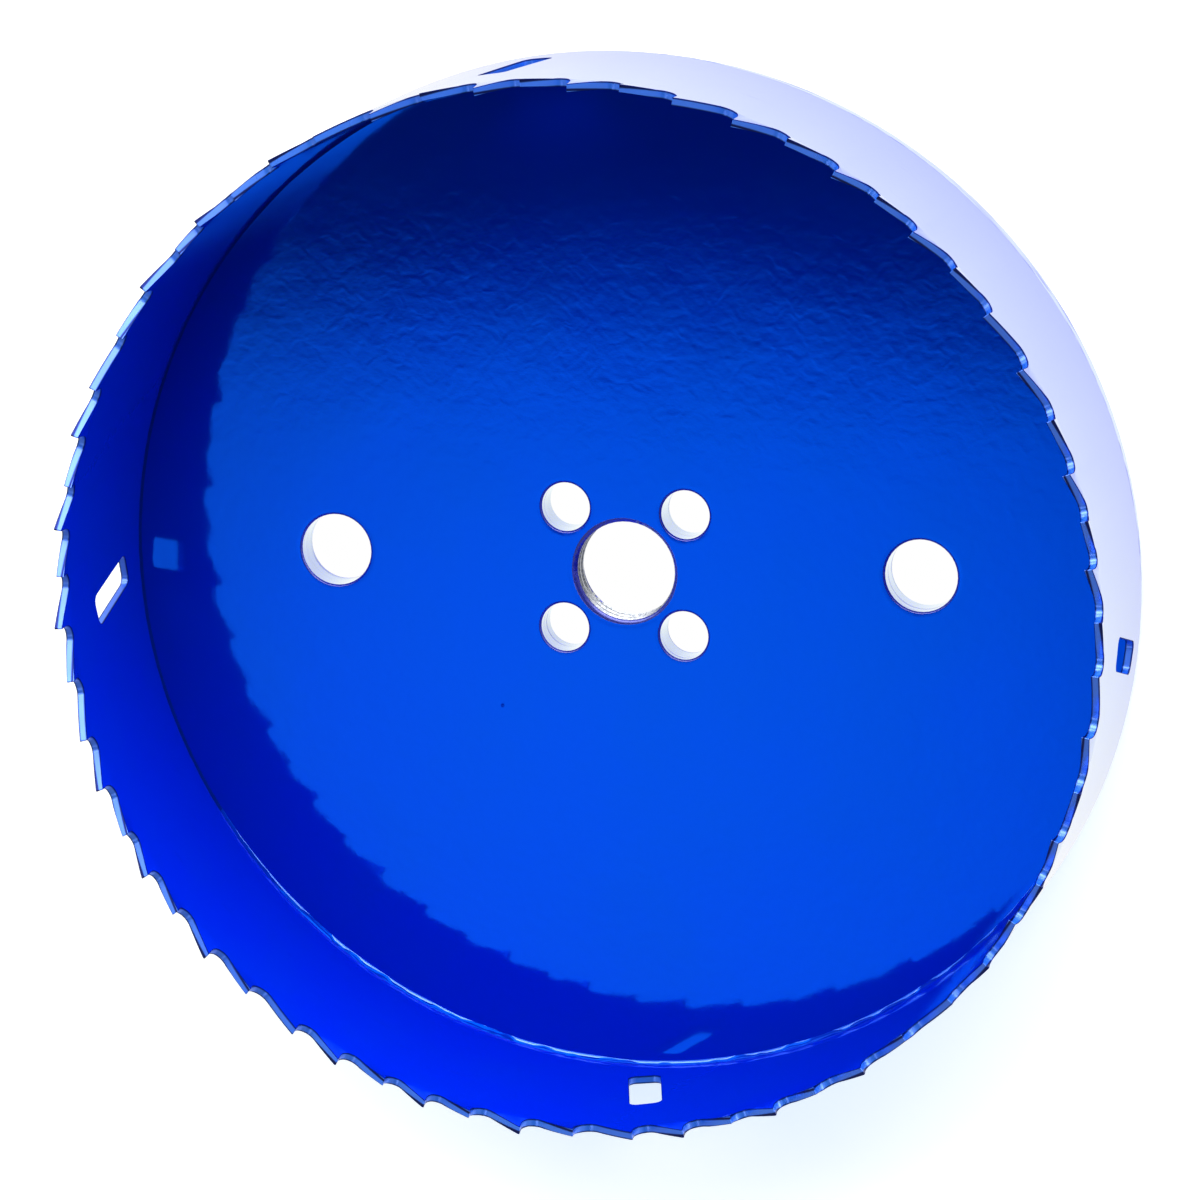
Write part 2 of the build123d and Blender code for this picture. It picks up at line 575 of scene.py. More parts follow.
def painted_surface(tree, point, settings, peel):
    """The normal of the paint: broad waves, orange peel, fine grain and nibs."""
    broad = noise_of(tree, point, settings.wave_scale, detail=1.0)
    waves = noise_of(tree, point, settings.peel_scale, detail=1.0, roughness=0.5, distortion=0.5)
    grain = noise_of(tree, point, settings.grain_scale, detail=2.0, roughness=0.6)
    normal = bumped(tree, broad, settings.wave_depth)
    normal = bumped(tree, waves, settings.peel_depth * peel, normal)
    normal = bumped(tree, grain, settings.grain_depth * peel, normal)
    return bumped(tree, paint_nibs(tree, point, settings), settings.nib_height, normal)


def painted_edge_shade(tree, point, settings):
    """Painted shade on a cut edge: 0 on its flat, and 1 where it rolls over to the band's two walls."""
    x, y, _ = parts_of(tree, point)
    middle = maths(tree, "SUBTRACT", flat_length(tree, x, y), (BAND_RADIUS + BAND_BORE) / 2)
    away = maths(tree, "ABSOLUTE", middle)
    corner = ramped(tree, away, settings.flat_width, settings.flat_width + CORNER_FADE)
    return maths(tree, "MULTIPLY", corner, ramped(tree, middle, *CORNER_START))


def enamel(
    name, settings, peel=1.0, marked=0.0, glance_share=0.0, deep=False, edge=False, rings=False
):
    """Glossy blue enamel with orange peel and nibs.

    A deep coat is the plate's: the band's enamel painted darker, as painted shade. An edge has
    the thin hard coat that shines white, and its corners turn dark with painted shade. Marked is
    how far the scratches show. The glance is a pale reflection at low angles, and rings are
    turning marks that dull it.
    """
    material, tree = blank_material(name)
    point = place_on(tree)
    normal = painted_surface(tree, point, settings, peel)
    coats = [settings.colour[:], settings.thin_colour[:]]
    roughness, metal = settings.roughness, settings.metallic
    index, tint = settings.ior, settings.gloss_tint[:]
    # Painted shade: a deep coat takes the enamel's colours made darker
    if deep:
        coats = [settings.shaded_plate_colour[:], settings.shaded_plate_thin_colour[:]]
        index = settings.deep_ior
        roll = ramped(tree, hole_distance(tree, point), 0.0, settings.roll_width)
        normal = bumped(tree, roll, settings.roll_depth, normal)
    elif edge:
        coats = [settings.edge_colour[:], settings.edge_thin_colour[:]]

    patches = noise_of(tree, point, settings.patch_scale, detail=4.0, roughness=0.6)
    colour = mixed(tree, ramped(tree, patches, *THIN_SPAN), *coats)
    if edge:
        # Painted shade: the edge's corners turn to the dark seam colour and more metallic
        corner = painted_edge_shade(tree, point, settings)
        colour = mixed(tree, corner, colour, settings.grime_and_shade_colour[:])
        metal = ramped(tree, corner, 0.0, 1.0, settings.edge_metallic, CORNER_METALLIC)
        roughness = settings.edge_roughness
        index, tint = settings.edge_ior, settings.edge_tint[:]
    rough = ramped(tree, patches, *GLOSS_SPAN, roughness * GLOSS_LEAST, roughness * GLOSS_MOST)
    if marked:
        marks = maths(tree, "MULTIPLY", scratches(tree, point, settings), marked)
        colour = mixed(tree, marks, colour, settings.mark_colour[:])
        rough = maths(tree, "ADD", rough, maths(tree, "MULTIPLY", marks, SCRATCH_ROUGHNESS))
        normal = bumped(tree, maths(tree, "SUBTRACT", 1.0, marks), settings.scratch_depth, normal)

    inputs = {
        "Base Color": colour,
        "Metallic": metal,
        "Roughness": rough,
        "IOR": index,
        "Specular Tint": tint,
        "Normal": normal,
    }
    surface = add(tree, "ShaderNodeBsdfPrincipled", inputs)
    if glance_share:
        facing = add(tree, "ShaderNodeLayerWeight", {"Blend": 0.5, "Normal": normal}).outputs["Facing"]
        share = ramped(tree, facing, settings.glance_start, 1.0, 0.0, glance_share)
        if marked:
            share = scratched_glance(tree, point, share, marks, settings)
        if rings:
            share = ringed_glance(tree, point, share, settings)
        surface = glancing(tree, surface, share, rough, normal, settings)
    join_output(tree, surface)
    return material


def glancing(tree, paint, share, rough, normal, settings):
    """The paint, with this share of it a plain pale reflection."""
    inputs = {
        "Base Color": settings.glance_tint[:],
        "Metallic": 1.0,
        "Roughness": rough,
        "Normal": normal,
    }
    glance = add(tree, "ShaderNodeBsdfPrincipled", inputs)
    inputs = {0: share, 1: paint.outputs[0], 2: glance.outputs[0]}
    return add(tree, "ShaderNodeMixShader", inputs)


def ringed_glance(tree, point, share, settings):
    """The share of the glance, less in the turning marks of a bore."""
    lines = turning_marks(tree, point, settings)
    left = ramped(tree, lines, 0.0, 1.0, 1.0, settings.ring_shade)
    return maths(tree, "MULTIPLY", share, left)


def scratched_glance(tree, point, share, marks, settings):
    """The share of the glance, less in a scratch and less towards the band's foot."""
    left = ramped(tree, marks, 0.0, 1.0, 1.0, SCRATCH_GLANCE, smooth=False)
    share = maths(tree, "MULTIPLY", share, left)
    height = parts_of(tree, point)["Z"]
    top = CAD_BOX[1][2]
    thinning = ramped(tree, height, PLATE_TOP, top, settings.foot_glance, TIP_GLANCE, smooth=False)
    return maths(tree, "MULTIPLY", share, thinning, clamp=True)


def bare_steel(name, settings):
    """Cut steel with fine tool marks and a little grime in the roots."""
    material, tree = blank_material(name)
    point = place_on(tree)
    grain = noise_of(tree, point, settings.steel_grain, detail=4.0, roughness=0.7)
    grime = noise_of(tree, point, settings.steel_grime, detail=3.0, roughness=0.6)
    dark = ramped(tree, grime, *GRIME_SPAN)
    inputs = {
        "Base Color": mixed(tree, dark, settings.steel_colour[:], settings.grime_colour[:]),
        "Metallic": STEEL_METALLIC,
        "Roughness": ramped(tree, grain, *GLOSS_SPAN, *STEEL_ROUGHNESS),
        "Normal": bumped(tree, grain, settings.steel_bump),
    }
    surface = add(tree, "ShaderNodeBsdfPrincipled", inputs)
    join_output(tree, surface)
    return material


# Settings


def length(name, description, default):
    """A length in metres that shows its unit."""
    return bpy.props.FloatProperty(
        name=name,
        description=description,
        default=default,
        subtype="DISTANCE",
        unit="LENGTH",
        precision=6,
    )


def number(name, description, default):
    """A plain number."""
    return bpy.props.FloatProperty(name=name, description=description, default=default, precision=4)


def numbers(name, description, default, **options):
    """Several numbers together."""
    return bpy.props.FloatVectorProperty(
        name=name, description=description, default=default, size=len(default), **options
    )


def paint_colour(name, description, red, green, blue):
    """A colour, fully opaque."""
    return numbers(name, description, (red, green, blue, 1.0), subtype="COLOR", min=0, max=1)


def count(name, description, default):
    """A whole number."""
    return bpy.props.IntProperty(name=name, description=description, default=default)


class HoleSawEnamelSettings(bpy.types.PropertyGroup):
    colour: paint_colour("Colour", "The enamel where it is thick", 0.0, 0.02, 0.82)
    thin_colour: paint_colour("Thin colour", "The enamel where it is thin", 0.0, 0.028, 0.76)
    # The deep colours are the band's enamel painted darker, as painted shade on the plate and the inner
    # weld
    shaded_plate_colour: paint_colour("Deep colour", "The thick coat on the plate", 0.0, 0.012, 0.42)
    shaded_plate_thin_colour: paint_colour("Deep thin colour", "That coat where it is thin", 0.0, 0.016, 0.38)
    mark_colour: paint_colour("Mark colour", "The enamel in a scratch", 0.03, 0.03, 0.35)
    gloss_tint: paint_colour("Gloss tint", "Tint of the reflection seen square on", 0.0, 0.17, 1.0)
    edge_tint: paint_colour("Edge tint", "Tint of the reflection on cut edges and welds", 0.9, 0.92, 1.0)
    edge_colour: paint_colour("Edge colour", "The coat on cut edges and welds", 0.02, 0.2, 1.0)
    edge_thin_colour: paint_colour("Edge thin colour", "The same coat where it is thin", 0.0, 0.13, 0.85)
    # Seam paint is grime, and painted shade in seams and on corners
    grime_and_shade_colour: paint_colour("Seam colour", "Dull paint in seams and corners", 0.0, 0.008, 0.13)
    seam_ior: number("Seam index", "Refractive index of the dull paint in seams", 1.25)
    flat_width: length("Flat width", "Half the width of a cut edge before it rolls over", 0.28 * MM)
    edge_ior: number("Edge index", "Refractive index of the coat on cut edges and welds", 2.5)
    metallic: number("Metallic", "How far the steel shines through", 0.1)
    edge_metallic: number("Edge metallic", "How far the steel shines through on cut edges", 0.4)
    roughness: number("Roughness", "Roughness of the gloss", 0.06)
    edge_roughness: number("Edge roughness", "Roughness of the coat on cut edges and welds", 0.28)
    ior: number("Index", "Refractive index of the enamel", 2.0)
    # The deep coat is the band's enamel with darker colours painted on as shade; this is its index
    deep_ior: number("Deep index", "Refractive index of the thick coat on the plate", 2.2)
    glance_tint: paint_colour("Glance tint", "Tint of the pale glance", 0.85, 0.98, 1.0)
    glance_start: number("Glance start", "Facing value where the pale glance begins", 0.12)
    glance_share: number("Glance share", "Share of plain reflection at a grazing angle", 0.74)
    foot_glance: number("Foot glance", "What is left of that share at the band's foot", 0.82)
    bore_glance: number("Bore glance", "The same share in the bores of the plate", 1.0)
    inside_glance: number("Inside glance", "The same share inside the cup", 0.3)
    wave_scale: number("Wave scale", "Broad waves of the paint, per metre", 70.0)
    wave_depth: length("Wave depth", "Height of the broad waves", 20 * MICRON)
    peel_scale: number("Peel scale", "Orange peel, per metre", 480.0)
    peel_depth: length("Peel depth", "Height of the orange peel", 7 * MICRON)
    grain_scale: number("Grain scale", "Fine grain of the paint, per metre", 1000.0)
    grain_depth: length("Grain depth", "Height of the fine grain", 2.2 * MICRON)
    patch_scale: number("Patch scale", "Patches of thick and thin paint, per metre", 35.0)
    roll_width: length("Roll width", "How far from a hole the paint starts to roll down", 0.9 * MM)
    roll_depth: length("Roll depth", "How far it rolls down", 12 * MICRON)
    nib_density: number("Nib density", "Cells that may hold a speck, per metre", 110.0)
    nib_share: number("Nib share", "Share of the cells that hold one", 0.12)
    nib_size: number("Nib size", "Size of a speck, as a share of its cell", 0.04)
    nib_height: length("Nib height", "Height of a speck", 25 * MICRON)
    scratch_along: number("Scratch length", "Marks along their length, per metre", 90.0)
    scratch_across: number("Scratch width", "Marks across their width, per metre", 2600.0)
    scratch_slant: number("Scratch slant", "How far a mark climbs along its length", 0.12)
    scratch_depth: length("Scratch depth", "Depth of a mark", 10 * MICRON)
    ring_along: number("Ring length", "Turning marks in a bore along their length, per metre", 60.0)
    ring_across: number("Ring width", "Turning marks in a bore across their width, per metre", 900.0)
    ring_shade: number("Ring shade", "Share of the glance that is left in a turning mark", 0.5)
    edge_width: length("Edge width", "How far an edge is rounded by the paint", 0.09 * MM)


class HoleSawThreadSettings(bpy.types.PropertyGroup):
    pitch: length("Pitch", "Distance from one turn to the next", 25.4 / 18 * MM)
    major_radius: length("Major radius", "Radius at the bottom of the groove", 7.9375 * MM)
    core_radius: length("Core radius", "Radius of the cutter between its ridges", 7.1 * MM)
    flank_angle: number("Flank angle", "Slope of one side of the groove, in degrees", 30.0)
    segments: count("Segments", "Steps in one turn", 96)
    steel_colour: paint_colour("Steel", "Freshly cut steel", 0.5, 0.52, 0.55)
    grime_colour: paint_colour("Grime", "Oil and dust in the thread", 0.24, 0.27, 0.33)
    steel_grain: number("Grain", "Tool marks, per metre", 3500.0)
    steel_grime: number("Grime scale", "Patches of grime, per metre", 2200.0)
    steel_bump: length("Grain depth", "Depth of the tool marks", 12 * MICRON)


class HoleSawWeldSettings(bpy.types.PropertyGroup):
    columns: count("Columns", "Steps round a weld run", 1800)
    rows: count("Rows", "Steps across a weld run", 7)
    toe_wander: length("Toe wander", "How far the edge of a run strays", 0.28 * MM)
    toe_wave: length("Toe wave", "Length of those strays", 6 * MM)
    crown: length("Crown", "How far the outer run stands out", 0.02 * MM)
    ridge: length("Ridge", "Height of the ragged line along the outer run's top", 0.05 * MM)
    beads: length("Bead pitch", "Distance between the ripples of a run", 1.6 * MM)
    bead_depth: length("Bead depth", "Height of the ripples", 0.05 * MM)
    lip: length("Lip", "Height of the ragged lip where the inner run meets the plate", 0.31 * MM)
    lip_side: number("Lip side", "Where the lip is highest, in degrees; it fades away opposite", 272.0)
    lip_wave: length("Lip wave", "Length of the lip's breaks", 3.0 * MM)
    sink: length("Sink", "How far a run's edges lie in what they join", 0.03 * MM)


class HoleSawStageSettings(bpy.types.PropertyGroup):
    camera_place: numbers(
        "Camera place",
        "Where the camera stands",
        (0.20643, 0.18492, 0.75904),
        subtype="TRANSLATION",
        unit="LENGTH",
    )
    camera_turn: numbers(
        "Camera turn",
        "The camera's rotation",
        (radians(-13.505), radians(15.656), radians(0.372)),
        subtype="EULER",
        unit="ROTATION",
    )
    lens: number("Lens", "Focal length for a 36 mm sensor, in millimetres", 166.04)
    floor_colour: paint_colour("Floor", "Colour of the floor", 0.9, 0.9, 0.9)
    floor_size: length("Floor size", "Half the floor's width", 6.0)
    floor_gap: length("Floor gap", "How far the floor lies below the plate", 0.1 * MM)
    # For the camera the shadow is painted pale blue, as painted light bounced off the blue saw
    shade_colour: paint_colour("Shade", "How the floor looks in full shadow", 0.48, 0.64, 0.87)
    lit_colour: paint_colour("Lit floor", "What the lights add to the shade", 1.0, 0.8, 0.4)
    room: number("Room", "Brightness of the room overhead", 0.1)
    walls: number("Walls", "How much brighter the room is lower down", 0.3)
    softbox: number("Softbox", "Brightness of the overhead softbox", 3.1)
    softbox_lean: numbers(
        "Softbox lean", "Where the softbox is, as slopes from straight up", (-0.273, -0.262)
    )
    softbox_reach: number("Softbox reach", "How far its light spreads, as a slope", 0.27)
    softbox_edge: number("Softbox edge", "Slope at which it stops on the camera's side", -0.178)
    window: number("Window", "Brightness of the low window", 5.4)
    window_side: number("Window side", "Where the window is, in degrees", 68.0)
    window_top: number("Window top", "How high the window reaches, as a sine", 0.46)
    skylight: number("Skylight", "Brightness of the high window", 5.0)
    skylight_side: number("Skylight side", "Where the high window is, in degrees", 102.0)


SETTINGS = {
    "hole_saw_enamel": HoleSawEnamelSettings,
    "hole_saw_thread": HoleSawThreadSettings,
    "hole_saw_weld": HoleSawWeldSettings,
    "hole_saw_stage": HoleSawStageSettings,
}


# Operators


class HOLESAW_OT_toothed_band(bpy.types.Operator):
    """Finish the toothed band: painted edges and enamel"""

    bl_idname = "holesaw.toothed_band"
    bl_label = "Toothed band"

    def execute(self, context):
        settings = context.scene.hole_saw_enamel
        work = welded_copy("toothed_band")
        soften_edges(work, settings.edge_width)
        mesh = to_mesh(work, "toothed_band_enamel")
        settle_normals(mesh)
        outside, inside = settings.glance_share, settings.inside_glance
        coat(
            mesh,
            enamel("band_outside_enamel", settings, marked=0.5, glance_share=outside),
            enamel("band_inside_enamel", settings, marked=0.3, glance_share=inside),
            enamel("band_edge_enamel", settings, peel=1.5, edge=True),
            # The corners between the band's walls and its cut edges are painted dark: painted shade
            grime_and_shade_enamel("band_corner_shade", settings),
        )
        mark_band(mesh)
        new_piece("toothed_band_painted", mesh, "band_enamel", "toothed_band")
        return {"FINISHED"}


def mark_band(mesh):
    """Says which coat each face of the band has."""
    for face in mesh.polygons:
        out = face.normal.x * face.center.x + face.normal.y * face.center.y
        if abs(out) > WALL_FACING * BAND_RADIUS:
            face.material_index = OUTSIDE if out > 0 else INSIDE
        elif abs(out) < EDGE_FACING * BAND_RADIUS:
            face.material_index = CUT_EDGE
        else:
            face.material_index = CORNER


class HOLESAW_OT_base_plate(bpy.types.Operator):
    """Finish the base plate: cut the arbor thread, round the edges and paint it"""

    bl_idname = "holesaw.base_plate"
    bl_label = "Base plate and thread"

    def execute(self, context):
        settings = context.scene.hole_saw_enamel
        thread = context.scene.hole_saw_thread
        work = welded_copy("base_plate")
        soften_edges(work, settings.edge_width, thread.major_radius * THREAD_MARGIN)
        plate = to_mesh(work, "plate_blank")
        cutter = thread_cutter(thread, -2 * thread.pitch, PLATE_TOP + thread.pitch)
        mesh = cut(plate, cutter)
        if len(mesh.polygons) <= len(plate.polygons):
            raise RuntimeError("the thread wasn't cut into the base plate")
        glance = settings.bore_glance
        # The plate and its chamfers take the deep coat, whose colours are painted shade
        coat(
            mesh,
            enamel("plate_enamel", settings, deep=True),
            bare_steel("thread_steel", thread),
            enamel("bore_enamel", settings, peel=2.5, glance_share=glance, rings=True),
            enamel("chamfer_enamel", settings, peel=1.5, deep=True, edge=True),
            # The rim's lower corner takes the seam paint: a painted shadow where the plate meets the
            # floor
            grime_and_shade_enamel("rim_corner_shade", settings),
        )
        mark_plate(mesh, thread)
        settle_normals(mesh)
        new_piece("base_plate_threaded", mesh, "plate_enamel", "base_plate")
        return {"FINISHED"}


def mark_plate(mesh, thread):
    """Says which coat each face of the plate has, and which faces are the thread's bare steel."""
    groove = thread.major_radius + GROOVE_STRAY
    for face in mesh.polygons:
        radius = hypot(face.center.x, face.center.y)
        height = face.center.z
        tilt = abs(face.normal.z)
        if tilt > LEVEL:
            continue
        if radius > RIM_START * BAND_BORE:
            face.material_index = BORE if height > RIM_ROLL else RIM_CORNER
        elif ARBOR_CHAMFER < height < PLATE_TOP - ARBOR_CHAMFER and radius < groove:
            face.material_index = THREAD
        elif tilt > STEEP:
            face.material_index = CHAMFER
        elif radius > groove:
            face.material_index = BORE


class HOLESAW_OT_rim_weld(bpy.types.Operator):
    """Lay the outer weld run in its bevel"""

    bl_idname = "holesaw.rim_weld"
    bl_label = "Rim weld"

    def execute(self, context):
        weld = context.scene.hole_saw_weld
        section = partial(rim_section, weld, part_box("rim_weld"))
        mesh = weld_run("rim_weld_run", weld.columns, section)
        paint = context.scene.hole_saw_enamel
        glance = paint.bore_glance
        coat(
            mesh,
            enamel("rim_weld_enamel", paint, peel=2.0, marked=0.5, glance_share=glance),
            grime_and_shade_enamel("rim_toe_grime_and_shade", paint),
        )
        sides = weld.rows + 1
        for face in mesh.polygons:
            angle = atan2(face.center.y, face.center.x)
            # A ragged line along the upper toe takes the seam paint: grime and painted shade
            ragged = ripple(angle, BAND_RADIUS, weld.lip_wave * 2, TOE_SEED) > TOE_LEAST
            face.material_index = TOE if ragged and face.index % sides < 2 else RUN
        new_piece("rim_weld_run", mesh, "weld_enamel", "rim_weld")
        return {"FINISHED"}


def rim_section(weld, box, angle):
    """The outer run's outline at an angle: a low crown with a ragged ridge along its top."""
    low, high = box
    stray = weld.toe_wander * ripple(angle, BAND_RADIUS, weld.toe_wave, UPPER_SEED)
    upper = Vector((BAND_RADIUS - weld.sink, high.z + stray))
    stray = weld.toe_wander * ripple(angle, BAND_RADIUS, weld.toe_wave, LOWER_SEED)
    lower = Vector((RIM_RADIUS - weld.sink, low.z + stray))
    swell = 1 + SWELL_SHARE * ripple(angle, BAND_RADIUS, 2 * weld.toe_wave, SWELL_SEED)
    beads = weld.bead_depth * ripple(angle, BAND_RADIUS, weld.beads, RIM_BEAD_SEED)
    ridge = RIDGE_BASE + ripple(angle, BAND_RADIUS, weld.lip_wave, RIDGE_SEED)
    points = []
    for row in range(weld.rows):
        share = (row / (weld.rows - 1)) ** ROW_CROWDING
        out = (weld.crown * swell + BEAD_SHARE * beads) * sin(pi * share)
        if row == 1:
            out += weld.ridge * max(0.0, ridge)
        place = upper.lerp(lower, share)
        points.append((min(place.x + out, BAND_RADIUS + RUN_PROUD), place.y))
    points.append((RIM_RADIUS - RUN_BACK, (low.z + high.z) / 2))
    return points


class HOLESAW_OT_corner_weld(bpy.types.Operator):
    """Lay the inner weld run in the corner of plate and band"""

    bl_idname = "holesaw.corner_weld"
    bl_label = "Corner weld"

    def execute(self, context):
        weld = context.scene.hole_saw_weld
        section = partial(corner_section, weld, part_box("corner_weld"))
        mesh = weld_run("corner_weld_run", weld.columns, section)
        paint = context.scene.hole_saw_enamel
        coat(
            mesh,
            # The fillet takes the deep coat, whose colours are painted shade
            enamel("corner_weld_enamel", paint, deep=True),
            enamel("corner_lip_enamel", paint, peel=1.5, edge=True),
            grime_and_shade_enamel("corner_weld_shade", paint),
        )
        sides = weld.rows + len(LIP_STEPS) + 2
        for face in mesh.polygons:
            side = cos(atan2(face.center.y, face.center.x) - radians(weld.lip_side))
            lipped = weld.rows - 1 <= face.index % sides < sides - 2
            # Away from the lip's side the run takes the seam paint: painted shade
            face.material_index = SHADED_SEAM if side < SEAM_FACING else LIP if lipped else FILLET
        new_piece("corner_weld_run", mesh, "weld_enamel", "corner_weld")
        return {"FINISHED"}


def corner_section(weld, box, angle):
    """The inner run's outline at an angle: a fillet down from the wall, then a lip."""
    low, high = box
    side = (cos(angle - radians(weld.lip_side)) - LIP_FACING) / LIP_FADE
    side = max(0.0, min(1.0, side))
    leg = (high.z - low.z) * (FULL_SHARES[0] + FULL_SHARES[1] * side)
    wander = ripple(angle, BAND_BORE, weld.toe_wave, WALL_SEED)
    up = leg * (WALL_SHARES[0] + WALL_SHARES[1] * wander)
    wander = ripple(angle, BAND_BORE, weld.toe_wave, PLATE_SEED)
    across = leg * (PLATE_SHARES[0] + PLATE_SHARES[1] * wander)
    beads = weld.bead_depth * ripple(angle, BAND_BORE, weld.beads, FILLET_BEAD_SEED)
    swell = LIP_SHARES[0] + LIP_SHARES[1] * ripple(angle, BAND_BORE, weld.lip_wave, LIP_SEED)
    lip = weld.lip * side * max(0.0, min(swell, LIP_MOST))
    wall = Vector((BAND_BORE + weld.sink, low.z + up))
    plate = Vector((BAND_BORE - across, low.z))
    crest = plate + Vector((LIP_LEAN * lip, lip + LIP_FLOOR))
    points = []
    for row in range(weld.rows):
        share = row / (weld.rows - 1)
        place = wall.lerp(crest, share)
        dip = (FILLET_DIP * side + beads) * sin(pi * share) * DIAGONAL
        points.append((place.x + dip, place.y - dip))
    for share in LIP_STEPS:
        place = crest.lerp(plate, share)
        swollen = LIP_SWELL * lip * sin(pi * share)
        points.append((place.x - swollen, place.y + swollen))
    points.append((plate.x, low.z - weld.sink))
    points.append((BAND_BORE + weld.sink, low.z - weld.sink))
    return points


class HOLESAW_OT_stage(bpy.types.Operator):
    """Set the floor, the light and the camera"""

    bl_idname = "holesaw.stage"
    bl_label = "Studio"

    def execute(self, context):
        settings = context.scene.hole_saw_stage
        lay_floor(settings)
        light_room(settings)
        place_camera(settings)
        context.scene.view_settings.view_transform = "Standard"
        return {"FINISHED"}


def lay_floor(settings):
    """A pale floor that holds the shadow and is white in a mirror. To the camera its shadow is painted
    pale blue, and under the cup it is painted white over the shadow.
    """
    mesh = bpy.data.meshes.new("floor")
    half = settings.floor_size
    low = -settings.floor_gap
    corners = [(x, y, low) for x, y in ((-half, -half), (half, -half), (half, half), (-half, half))]
    mesh.from_pydata(corners, [], [(0, 1, 2, 3)])
    floor = bpy.data.objects.new("floor", mesh)
    bpy.context.scene.collection.objects.link(floor)
    material, tree = blank_material("floor_paper")
    x, y, _ = parts_of(tree, place_on(tree))
    # Painted light: under the cup the floor is painted white, over the cup's shadow
    under = ramped(tree, flat_length(tree, x, y), BAND_BORE, BAND_BORE - CUP_FADE)
    paper = add(tree, "ShaderNodeBsdfDiffuse", {"Color": settings.floor_colour[:]})
    # Painted light: a warm lit share over a blue shade makes the shadow pale blue
    lit = add(tree, "ShaderNodeBsdfDiffuse", {"Color": settings.lit_colour[:]})
    shade = add(tree, "ShaderNodeEmission", {"Color": settings.shade_colour[:], "Strength": 1.0})
    white = add(tree, "ShaderNodeEmission", {"Strength": 1.0})
    shown = add(tree, "ShaderNodeAddShader", {0: lit.outputs[0], 1: shade.outputs[0]})
    shown = add(tree, "ShaderNodeMixShader", {0: under, 1: shown.outputs[0], 2: white.outputs[0]})
    path = add(tree, "ShaderNodeLightPath").outputs
    mirrored = maths(tree, "MAXIMUM", path["Is Glossy Ray"], path["Is Transmission Ray"])
    both = add(tree, "ShaderNodeMixShader", {0: mirrored, 1: paper.outputs[0], 2: white.outputs[0]})
    inputs = {0: path["Is Camera Ray"], 1: both.outputs[0], 2: shown.outputs[0]}
    join_output(tree, add(tree, "ShaderNodeMixShader", inputs))
    coat(mesh, material)


def light_room(settings):
    """A dim room with a softbox and two windows, and white where it is looked at."""
    world = bpy.data.worlds.new("room")
    bpy.context.scene.world = world
    world.use_nodes = True
    tree = world.node_tree
    tree.nodes.clear()
    direction = add(tree, "ShaderNodeTexCoord").outputs["Generated"]
    x, y, z = parts_of(tree, direction)
    above = ramped(tree, z, *HORIZON)
    glow = ramped(tree, z, *WALLS_FADE, settings.room, settings.room + settings.walls)
    lights = (softbox, settings.softbox), (window, settings.window), (skylight, settings.skylight)
    for light, brightness in lights:
        share = light(tree, x, y, z, settings)
        glow = maths(tree, "ADD", glow, maths(tree, "MULTIPLY", share, brightness))
    glow = maths(tree, "MULTIPLY", glow, above)
    path = add(tree, "ShaderNodeLightPath").outputs
    room = add(tree, "ShaderNodeBackground", {"Color": (1, 1, 1, 1), "Strength": glow})
    white = add(tree, "ShaderNodeBackground", {"Color": (1, 1, 1, 1), "Strength": 1.0})
    inputs = {0: path["Is Camera Ray"], 1: room.outputs[0], 2: white.outputs[0]}
    both = add(tree, "ShaderNodeMixShader", inputs)
    add(tree, "ShaderNodeOutputWorld", {"Surface": both.outputs[0]})


def softbox(tree, x, y, z, settings):
    """A hot spot overhead that stops at a straight soft edge, from 0 to 1."""
    up = maths(tree, "MAXIMUM", z, LEAST_HEIGHT)
    lean_x = maths(tree, "DIVIDE", x, up)
    lean_y = maths(tree, "DIVIDE", y, up)
    away_x = maths(tree, "SUBTRACT", lean_x, settings.softbox_lean[0])
    away_y = maths(tree, "SUBTRACT", lean_y, settings.softbox_lean[1])
    away = flat_length(tree, away_x, away_y)
    spot = ramped(tree, away, 0.0, settings.softbox_reach, 1.0, 0.0)
    edge = ramped(tree, lean_y, settings.softbox_edge, settings.softbox_edge - SOFTBOX_FADE)
    return maths(tree, "MULTIPLY", spot, edge)


def facing_side(tree, x, y, side):
    """How squarely a direction faces one side of the room, from -1 to 1."""
    across = maths(tree, "MULTIPLY", x, cos(side))
    along = maths(tree, "MULTIPLY", y, sin(side))
    flat = maths(tree, "MAXIMUM", flat_length(tree, x, y), LEAST_LENGTH)
    return maths(tree, "DIVIDE", maths(tree, "ADD", across, along), flat)


def window(tree, x, y, z, settings):
    """A band of light low on one side of the room, from 0 to 1."""
    wide = ramped(tree, facing_side(tree, x, y, radians(settings.window_side)), *WINDOW_SPAN)
    low = ramped(tree, z, settings.window_top, settings.window_top - WINDOW_FADE)
    return maths(tree, "MULTIPLY", wide, low)


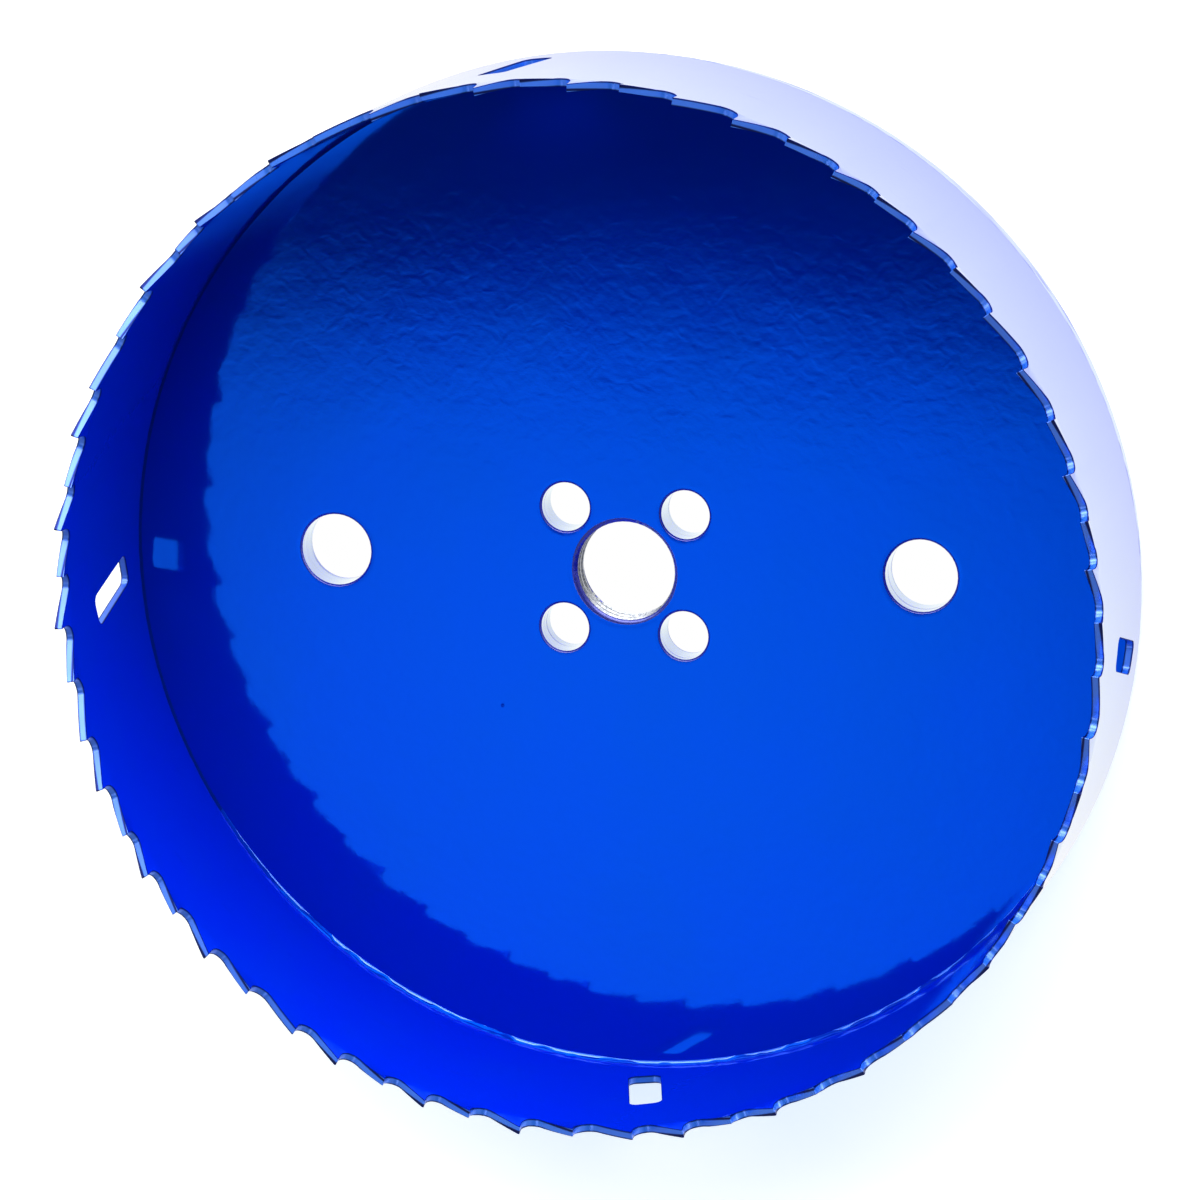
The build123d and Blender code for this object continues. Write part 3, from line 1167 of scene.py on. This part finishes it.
def skylight(tree, x, y, z, settings):
    """A smaller window above and to one side of the low one, from 0 to 1."""
    wide = ramped(tree, facing_side(tree, x, y, radians(settings.skylight_side)), *SKYLIGHT_SPAN)
    foot = ramped(tree, z, *SKYLIGHT_FOOT)
    head = ramped(tree, z, *SKYLIGHT_HEAD)
    return maths(tree, "MULTIPLY", wide, maths(tree, "MULTIPLY", foot, head))


def place_camera(settings):
    """The camera the saw is seen with."""
    camera = bpy.data.cameras.new("camera")
    camera.sensor_width = 36.0
    camera.lens = settings.lens
    camera.clip_start = 0.01
    camera.clip_end = 50.0
    holder = bpy.data.objects.new("camera", camera)
    holder.location = settings.camera_place
    holder.rotation_euler = settings.camera_turn
    bpy.context.scene.collection.objects.link(holder)
    bpy.context.scene.camera = holder


OPERATORS = (
    HOLESAW_OT_toothed_band,
    HOLESAW_OT_base_plate,
    HOLESAW_OT_rim_weld,
    HOLESAW_OT_corner_weld,
    HOLESAW_OT_stage,
)


class HOLESAW_PT_panel(bpy.types.Panel):
    """Lists the steps and their settings"""

    bl_label = "Hole Saw"
    bl_idname = "HOLESAW_PT_panel"
    bl_space_type = "VIEW_3D"
    bl_region_type = "UI"
    bl_category = "Hole Saw"

    def draw(self, context):
        for operator in OPERATORS:
            self.layout.operator(operator.bl_idname)
        for name, group in SETTINGS.items():
            box = self.layout.box()
            for field in group.__annotations__:
                box.prop(getattr(context.scene, name), field)


CLASSES = (*SETTINGS.values(), *OPERATORS, HOLESAW_PT_panel)


def register():
    """Registers the classes, and gives the scene its settings."""
    for item in CLASSES:
        bpy.utils.register_class(item)
    for name, group in SETTINGS.items():
        setattr(bpy.types.Scene, name, bpy.props.PointerProperty(type=group))


def unregister():
    """Takes back what register gave."""
    for name in SETTINGS:
        delattr(bpy.types.Scene, name)
    for item in reversed(CLASSES):
        bpy.utils.unregister_class(item)


def main():
    """Builds the finished saw and its stage."""
    register()
    bpy.ops.holesaw.toothed_band()
    bpy.ops.holesaw.base_plate()
    bpy.ops.holesaw.rim_weld()
    bpy.ops.holesaw.corner_weld()
    bpy.ops.holesaw.stage()


if __name__ == "__main__":
    main()
